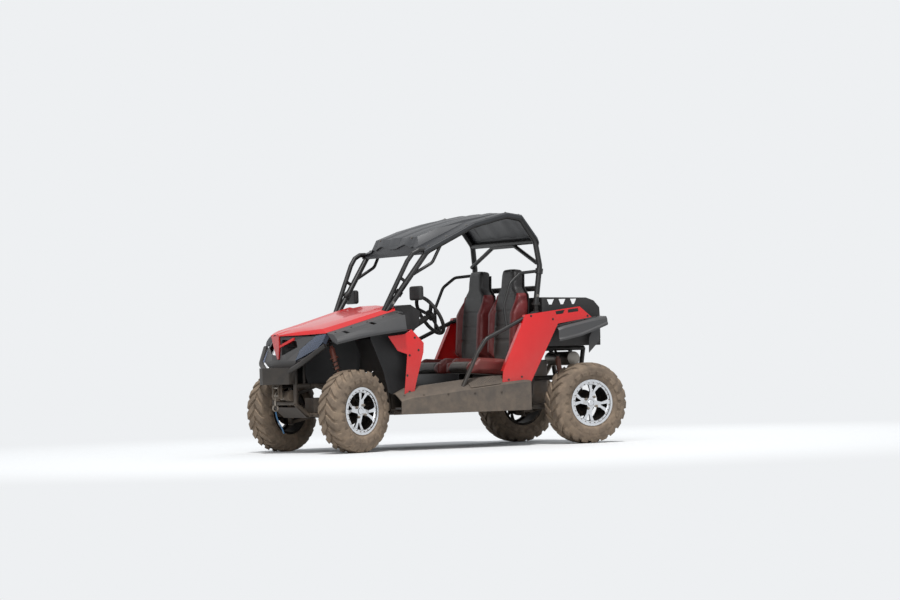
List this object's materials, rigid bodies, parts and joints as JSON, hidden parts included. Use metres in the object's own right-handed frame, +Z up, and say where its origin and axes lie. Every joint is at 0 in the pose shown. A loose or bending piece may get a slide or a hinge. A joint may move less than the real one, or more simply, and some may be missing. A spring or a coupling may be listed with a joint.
{
  "type": "dune buggy",
  "caption": "Side-by-side dune buggy with roll cage, hard roof, cargo bed, winch and knobby tyres; its wheels roll and its steering wheel turns the front pair.",
  "frame": {"origin": "on the ground under the middle of the whole vehicle", "axes": "+X forward, +Y to the vehicle's left, +Z up"},
  "size_m": [2.94, 1.6896, 1.906],
  "materials": {
    "red_panel": "gloss red moulded plastic, dusty",
    "dark_panel": "dark grey grained plastic, dusty",
    "sill_plastic": "dark grey plastic under brown dust",
    "roof_plastic": "dark grey satin plastic",
    "black_tube": "black powder coat on steel tube",
    "frame_tube": "black powder coat, dusty",
    "black_plastic": "black grained plastic",
    "seat_vinyl": "black vinyl with dark red bolsters",
    "grip": "black soft grip",
    "lens": "clear lamp lens",
    "steel": "plain steel",
    "alloy": "cast alloy",
    "iron": "dark cast iron, dusty",
    "damper_paint": "reddish brown spring and body",
    "rim_alloy": "machined alloy with dark recesses",
    "tyre_rubber": "knobby rubber under tan dust",
    "strap_web": "blue woven webbing"
  },
  "bodies": {
    "chassis": {"bull_bar": "black_tube", "cage": "black_tube", "cargo_bed": "black_plastic", "chassis_frame": "frame_tube", "dampers": "damper_paint", "dashboard": "black_plastic", "engine": "alloy", "final_drives": "alloy", "floor_pan": "black_plastic", "front_arms": "frame_tube", "front_fascia": "dark_panel", "front_fenders": "dark_panel", "front_side_panels": "red_panel", "half_shafts": "steel", "hood": "red_panel", "lamps": "lens", "muffler": "steel", "rear_arms": "frame_tube", "rear_fenders": "dark_panel", "rear_hub_carriers": "iron", "rear_side_panels": "red_panel", "roof_panel": "roof_plastic", "seat_backs": "seat_vinyl", "seat_cushions": "seat_vinyl", "seat_shells": "black_plastic", "side_hoops": "black_tube", "side_mirrors": "black_plastic", "sills": "sill_plastic", "skid_plate": "black_plastic", "steering_column": "frame_tube", "winch": "iron", "winch_hook": "steel", "winch_rope": "steel", "winch_strap": "strap_web"},
    "steering_wheel": {"steering_wheel": "grip"},
    "steering_rack": {"steering_rack": "steel"},
    "knuckle_left": {"front_knuckle_left": "iron"},
    "knuckle_right": {"front_knuckle_right": "iron"},
    "wheel_front_left": {"tyre_front_left": "tyre_rubber", "rim_front_left": "rim_alloy"},
    "wheel_front_right": {"tyre_front_right": "tyre_rubber", "rim_front_right": "rim_alloy"},
    "wheel_rear_left": {"tyre_rear_left": "tyre_rubber", "rim_rear_left": "rim_alloy"},
    "wheel_rear_right": {"tyre_rear_right": "tyre_rubber", "rim_rear_right": "rim_alloy"}
  },
  "joints": [
    {"name": "steering_turn", "type": "hinge", "parent": "chassis", "child": "steering_wheel", "pos_m": [0.095, 0.3, 1.08], "axis": [-0.866, 0, 0.5], "range_deg": [-452.4, 109.2]},
    {"name": "rack_slide", "type": "slide", "parent": "chassis", "child": "steering_rack", "axis": [0, 1, 0], "range_m": [-0.0253, 0.1043]},
    {"name": "kingpin_left", "type": "hinge", "parent": "chassis", "child": "knuckle_left", "pos_m": [0.985, 0.5455, 0.33], "axis": [0, 0, 1], "range_deg": [-58.1, 14.1]},
    {"name": "kingpin_right", "type": "hinge", "parent": "chassis", "child": "knuckle_right", "pos_m": [0.985, -0.5455, 0.33], "axis": [0, 0, 1], "range_deg": [-58.1, 14.1]},
    {"name": "front_axle_left", "type": "hinge", "parent": "knuckle_left", "child": "wheel_front_left", "pos_m": [0.985, 0.5455, 0.33], "axis": [-0.3746, 0.9272, 0], "continuous": true},
    {"name": "front_axle_right", "type": "hinge", "parent": "knuckle_right", "child": "wheel_front_right", "pos_m": [0.985, -0.5455, 0.33], "axis": [-0.3746, 0.9272, 0], "continuous": true},
    {"name": "rear_axle_left", "type": "hinge", "parent": "chassis", "child": "wheel_rear_left", "pos_m": [-1.14, 0.6155, 0.33], "axis": [0, 1, 0], "continuous": true},
    {"name": "rear_axle_right", "type": "hinge", "parent": "chassis", "child": "wheel_rear_right", "pos_m": [-1.14, -0.6155, 0.33], "axis": [0, 1, 0], "continuous": true}
  ],
  "couplings": [
    {"joint": "kingpin_left", "follows": "steering_turn", "ratio": 0.12821},
    {"joint": "kingpin_right", "follows": "steering_turn", "ratio": 0.12821},
    {"joint": "rack_slide", "follows": "steering_turn", "m_per_rad": -0.0132}
  ]
}
